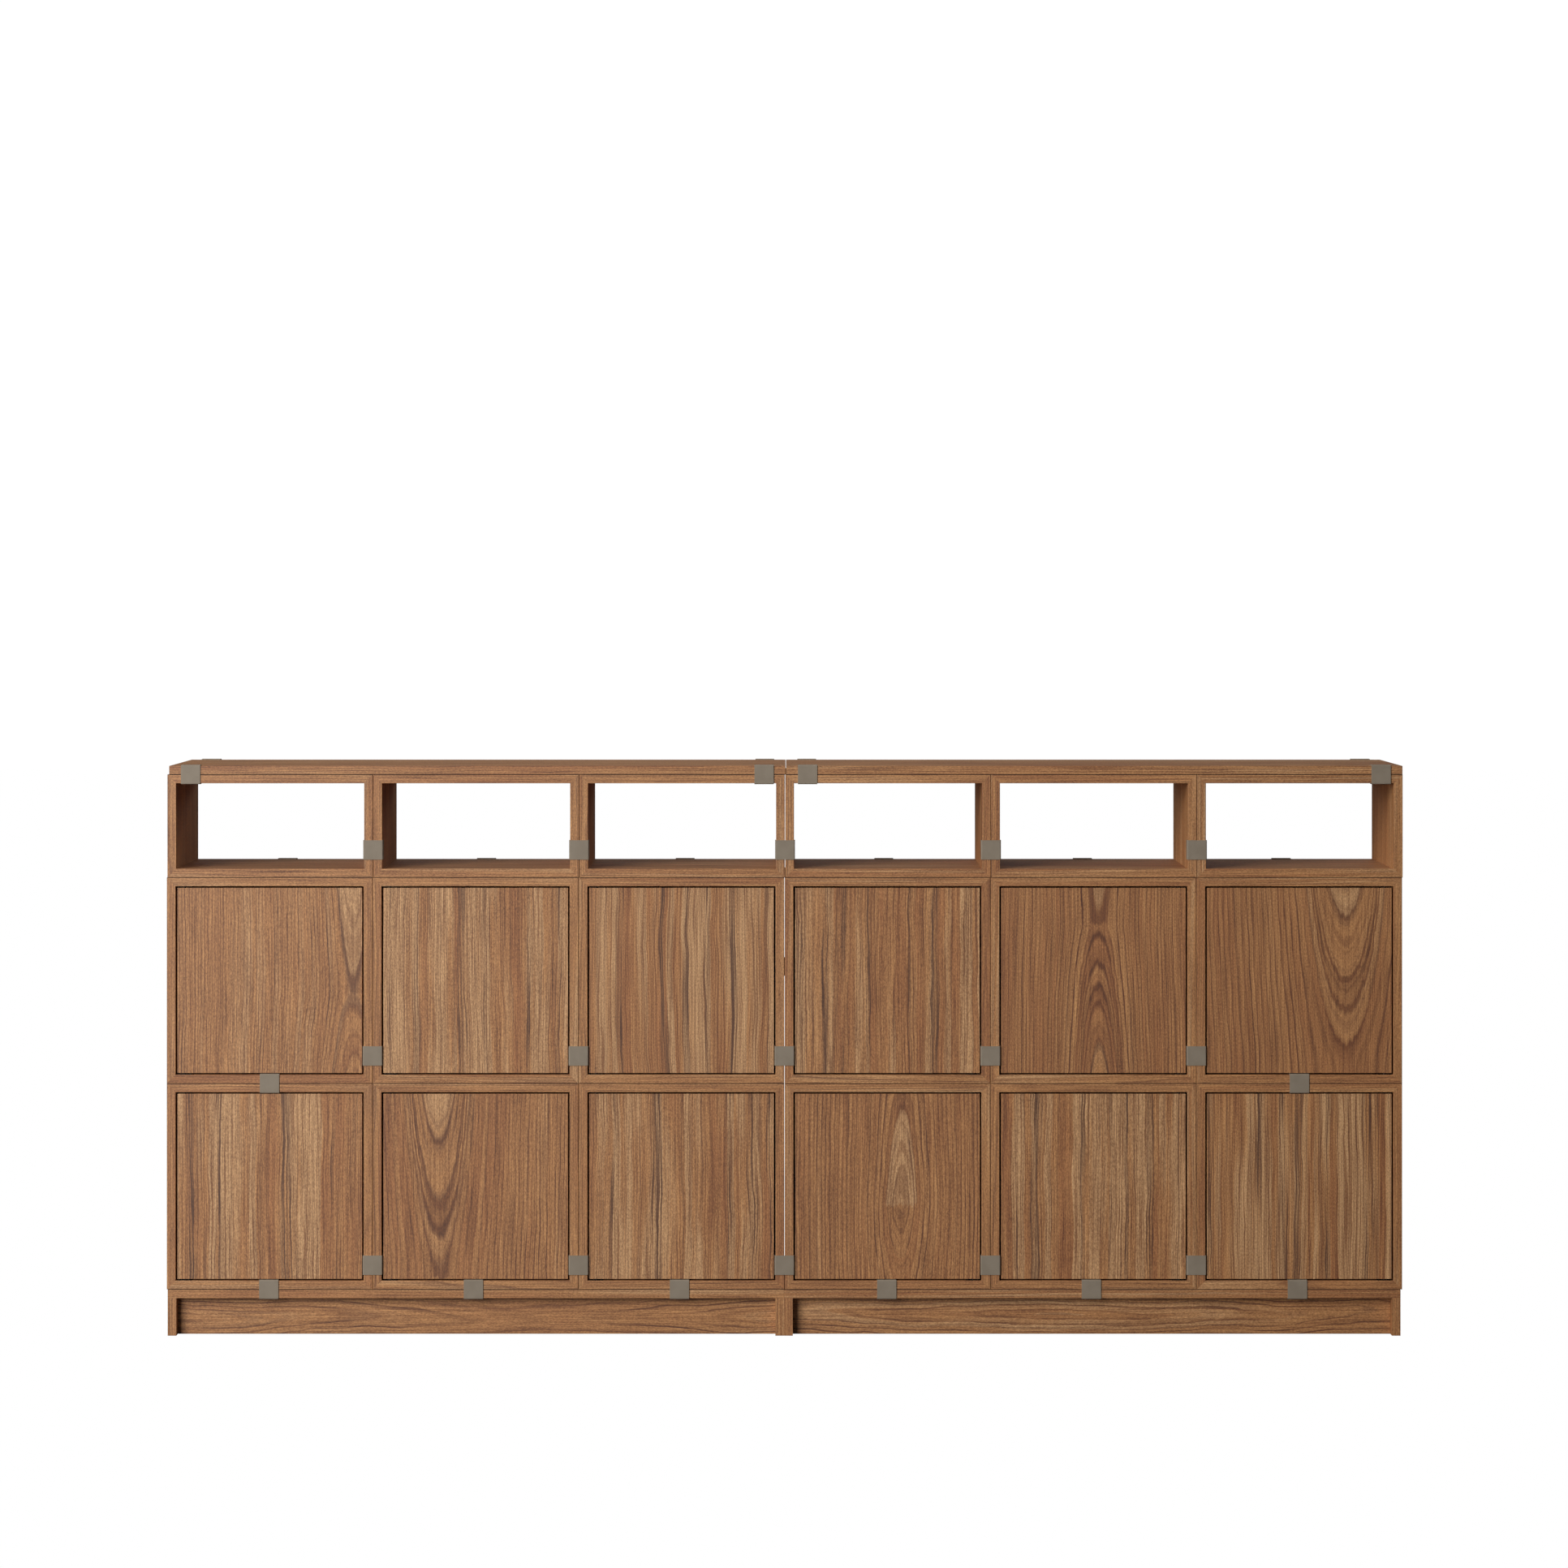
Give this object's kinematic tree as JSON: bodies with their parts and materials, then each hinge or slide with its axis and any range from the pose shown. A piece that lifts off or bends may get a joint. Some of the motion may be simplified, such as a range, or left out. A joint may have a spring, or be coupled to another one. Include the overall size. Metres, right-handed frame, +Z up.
{
  "type": "cube storage unit",
  "caption": "Long, low cube storage unit in walnut veneer: open shelves over rows of cabinets with inset push-to-open doors, on plinths, joined by sheet-metal clips.",
  "frame": {"origin": "centre of the footprint on the floor", "axes": "+X to the right along the unit, +Y to the rear, +Z up; the doors face -Y"},
  "size_m": [2.6162, 0.354, 1.2085],
  "materials": {
    "cabinet_walnut": "matt oiled veneer",
    "open_walnut": "matt oiled veneer",
    "plinth_walnut": "matt oiled veneer",
    "top_walnut": "matt oiled veneer",
    "door_walnut": "matt oiled veneer",
    "clip_metal": "satin",
    "pivot_steel": "satin",
    "fitting_steel": "satin",
    "latch_housing": "matt",
    "latch_plunger": "matt"
  },
  "bodies": {
    "carcass": {"plinth_left": "plinth_walnut", "plinth_right": "plinth_walnut", "cabinet_lower_1": "cabinet_walnut", "cabinet_lower_2": "cabinet_walnut", "cabinet_lower_3": "cabinet_walnut", "cabinet_lower_4": "cabinet_walnut", "cabinet_lower_5": "cabinet_walnut", "cabinet_lower_6": "cabinet_walnut", "cabinet_upper_1": "cabinet_walnut", "cabinet_upper_2": "cabinet_walnut", "cabinet_upper_3": "cabinet_walnut", "cabinet_upper_4": "cabinet_walnut", "cabinet_upper_5": "cabinet_walnut", "cabinet_upper_6": "cabinet_walnut", "open_module_1": "open_walnut", "open_module_2": "open_walnut", "open_module_3": "open_walnut", "open_module_4": "open_walnut", "open_module_5": "open_walnut", "open_module_6": "open_walnut", "top_boards": "top_walnut", "joining_clips": "clip_metal", "door_pivots": "pivot_steel", "latch_housings": "latch_housing"},
    "door_lower_1": {"door_lower_1": "door_walnut", "door_fittings_lower_1": "fitting_steel"},
    "plunger_lower_1": {"latch_plunger_lower_1": "latch_plunger"},
    "door_lower_2": {"door_lower_2": "door_walnut", "door_fittings_lower_2": "fitting_steel"},
    "plunger_lower_2": {"latch_plunger_lower_2": "latch_plunger"},
    "door_lower_3": {"door_lower_3": "door_walnut", "door_fittings_lower_3": "fitting_steel"},
    "plunger_lower_3": {"latch_plunger_lower_3": "latch_plunger"},
    "door_lower_4": {"door_lower_4": "door_walnut", "door_fittings_lower_4": "fitting_steel"},
    "plunger_lower_4": {"latch_plunger_lower_4": "latch_plunger"},
    "door_lower_5": {"door_lower_5": "door_walnut", "door_fittings_lower_5": "fitting_steel"},
    "plunger_lower_5": {"latch_plunger_lower_5": "latch_plunger"},
    "door_lower_6": {"door_lower_6": "door_walnut", "door_fittings_lower_6": "fitting_steel"},
    "plunger_lower_6": {"latch_plunger_lower_6": "latch_plunger"},
    "door_upper_1": {"door_upper_1": "door_walnut", "door_fittings_upper_1": "fitting_steel"},
    "plunger_upper_1": {"latch_plunger_upper_1": "latch_plunger"},
    "door_upper_2": {"door_upper_2": "door_walnut", "door_fittings_upper_2": "fitting_steel"},
    "plunger_upper_2": {"latch_plunger_upper_2": "latch_plunger"},
    "door_upper_3": {"door_upper_3": "door_walnut", "door_fittings_upper_3": "fitting_steel"},
    "plunger_upper_3": {"latch_plunger_upper_3": "latch_plunger"},
    "door_upper_4": {"door_upper_4": "door_walnut", "door_fittings_upper_4": "fitting_steel"},
    "plunger_upper_4": {"latch_plunger_upper_4": "latch_plunger"},
    "door_upper_5": {"door_upper_5": "door_walnut", "door_fittings_upper_5": "fitting_steel"},
    "plunger_upper_5": {"latch_plunger_upper_5": "latch_plunger"},
    "door_upper_6": {"door_upper_6": "door_walnut", "door_fittings_upper_6": "fitting_steel"},
    "plunger_upper_6": {"latch_plunger_upper_6": "latch_plunger"}
  },
  "joints": [
    {"name": "door_lower_1_hinge", "type": "hinge", "parent": "carcass", "child": "door_lower_1", "pos_m": [-1.27147, -0.1665, 0.316], "axis": [0, 0, -1], "range_deg": [0, 100]},
    {"name": "plunger_lower_1_slide", "type": "slide", "parent": "carcass", "child": "plunger_lower_1", "axis": [0, -1, 0], "range_m": [0, 0.012]},
    {"name": "door_lower_2_hinge", "type": "hinge", "parent": "carcass", "child": "door_lower_2", "pos_m": [-0.83547, -0.1665, 0.316], "axis": [0, 0, -1], "range_deg": [0, 100]},
    {"name": "plunger_lower_2_slide", "type": "slide", "parent": "carcass", "child": "plunger_lower_2", "axis": [0, -1, 0], "range_m": [0, 0.012]},
    {"name": "door_lower_3_hinge", "type": "hinge", "parent": "carcass", "child": "door_lower_3", "pos_m": [-0.39948, -0.1665, 0.316], "axis": [0, 0, -1], "range_deg": [0, 100]},
    {"name": "plunger_lower_3_slide", "type": "slide", "parent": "carcass", "child": "plunger_lower_3", "axis": [0, -1, 0], "range_m": [0, 0.012]},
    {"name": "door_lower_4_hinge", "type": "hinge", "parent": "carcass", "child": "door_lower_4", "pos_m": [0.39827, -0.1665, 0.316], "axis": [0, 0, 1], "range_deg": [0, 100]},
    {"name": "plunger_lower_4_slide", "type": "slide", "parent": "carcass", "child": "plunger_lower_4", "axis": [0, -1, 0], "range_m": [0, 0.012]},
    {"name": "door_lower_5_hinge", "type": "hinge", "parent": "carcass", "child": "door_lower_5", "pos_m": [0.83427, -0.1665, 0.316], "axis": [0, 0, 1], "range_deg": [0, 100]},
    {"name": "plunger_lower_5_slide", "type": "slide", "parent": "carcass", "child": "plunger_lower_5", "axis": [0, -1, 0], "range_m": [0, 0.012]},
    {"name": "door_lower_6_hinge", "type": "hinge", "parent": "carcass", "child": "door_lower_6", "pos_m": [1.27028, -0.1665, 0.316], "axis": [0, 0, 1], "range_deg": [0, 100]},
    {"name": "plunger_lower_6_slide", "type": "slide", "parent": "carcass", "child": "plunger_lower_6", "axis": [0, -1, 0], "range_m": [0, 0.012]},
    {"name": "door_upper_1_hinge", "type": "hinge", "parent": "carcass", "child": "door_upper_1", "pos_m": [-1.27147, -0.1665, 0.752], "axis": [0, 0, -1], "range_deg": [0, 100]},
    {"name": "plunger_upper_1_slide", "type": "slide", "parent": "carcass", "child": "plunger_upper_1", "axis": [0, -1, 0], "range_m": [0, 0.012]},
    {"name": "door_upper_2_hinge", "type": "hinge", "parent": "carcass", "child": "door_upper_2", "pos_m": [-0.83547, -0.1665, 0.752], "axis": [0, 0, -1], "range_deg": [0, 100]},
    {"name": "plunger_upper_2_slide", "type": "slide", "parent": "carcass", "child": "plunger_upper_2", "axis": [0, -1, 0], "range_m": [0, 0.012]},
    {"name": "door_upper_3_hinge", "type": "hinge", "parent": "carcass", "child": "door_upper_3", "pos_m": [-0.39948, -0.1665, 0.752], "axis": [0, 0, -1], "range_deg": [0, 100]},
    {"name": "plunger_upper_3_slide", "type": "slide", "parent": "carcass", "child": "plunger_upper_3", "axis": [0, -1, 0], "range_m": [0, 0.012]},
    {"name": "door_upper_4_hinge", "type": "hinge", "parent": "carcass", "child": "door_upper_4", "pos_m": [0.39827, -0.1665, 0.752], "axis": [0, 0, 1], "range_deg": [0, 100]},
    {"name": "plunger_upper_4_slide", "type": "slide", "parent": "carcass", "child": "plunger_upper_4", "axis": [0, -1, 0], "range_m": [0, 0.012]},
    {"name": "door_upper_5_hinge", "type": "hinge", "parent": "carcass", "child": "door_upper_5", "pos_m": [0.83427, -0.1665, 0.752], "axis": [0, 0, 1], "range_deg": [0, 100]},
    {"name": "plunger_upper_5_slide", "type": "slide", "parent": "carcass", "child": "plunger_upper_5", "axis": [0, -1, 0], "range_m": [0, 0.012]},
    {"name": "door_upper_6_hinge", "type": "hinge", "parent": "carcass", "child": "door_upper_6", "pos_m": [1.27028, -0.1665, 0.752], "axis": [0, 0, 1], "range_deg": [0, 100]},
    {"name": "plunger_upper_6_slide", "type": "slide", "parent": "carcass", "child": "plunger_upper_6", "axis": [0, -1, 0], "range_m": [0, 0.012]}
  ],
  "couplings": [
    {"joint": "plunger_lower_1_slide", "follows": "door_lower_1_hinge", "m_per_rad": 0.0068},
    {"joint": "plunger_lower_2_slide", "follows": "door_lower_2_hinge", "m_per_rad": 0.0068},
    {"joint": "plunger_lower_3_slide", "follows": "door_lower_3_hinge", "m_per_rad": 0.0068},
    {"joint": "plunger_lower_4_slide", "follows": "door_lower_4_hinge", "m_per_rad": 0.0068},
    {"joint": "plunger_lower_5_slide", "follows": "door_lower_5_hinge", "m_per_rad": 0.0068},
    {"joint": "plunger_lower_6_slide", "follows": "door_lower_6_hinge", "m_per_rad": 0.0068},
    {"joint": "plunger_upper_1_slide", "follows": "door_upper_1_hinge", "m_per_rad": 0.0068},
    {"joint": "plunger_upper_2_slide", "follows": "door_upper_2_hinge", "m_per_rad": 0.0068},
    {"joint": "plunger_upper_3_slide", "follows": "door_upper_3_hinge", "m_per_rad": 0.0068},
    {"joint": "plunger_upper_4_slide", "follows": "door_upper_4_hinge", "m_per_rad": 0.0068},
    {"joint": "plunger_upper_5_slide", "follows": "door_upper_5_hinge", "m_per_rad": 0.0068},
    {"joint": "plunger_upper_6_slide", "follows": "door_upper_6_hinge", "m_per_rad": 0.0068}
  ]
}
